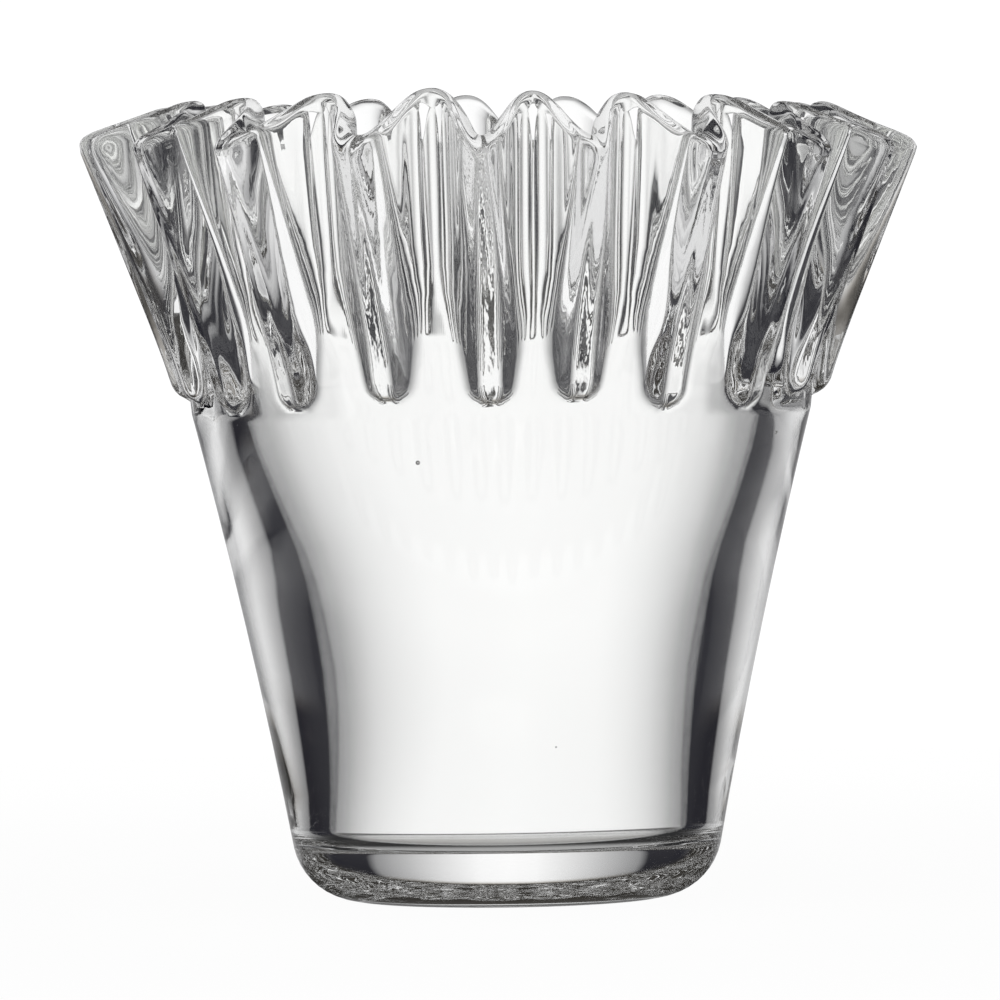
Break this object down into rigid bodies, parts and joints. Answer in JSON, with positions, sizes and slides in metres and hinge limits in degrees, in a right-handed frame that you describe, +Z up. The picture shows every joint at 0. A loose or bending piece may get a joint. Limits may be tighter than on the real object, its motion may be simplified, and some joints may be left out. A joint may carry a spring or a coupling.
{
  "type": "rose bowl vase",
  "caption": "Heavy clear glass rose bowl vase: a thick rounded foot, a smooth tapering bowl and a flaring collar of upright pleats with a wavy lip.",
  "frame": {"origin": "centre of the flat ring that the vase stands on", "axes": "+Z up along the vase's axis; the front fin stands 3.3 degrees off -Y, which faces the viewer of the picture"},
  "size_m": [0.1592, 0.1592, 0.1538],
  "materials": {
    "clear_glass": "fire-polished clear colourless glass"
  },
  "bodies": {
    "root": {"foot": "clear_glass", "bowl_wall": "clear_glass", "pleated_collar": "clear_glass"}
  },
  "joints": []
}
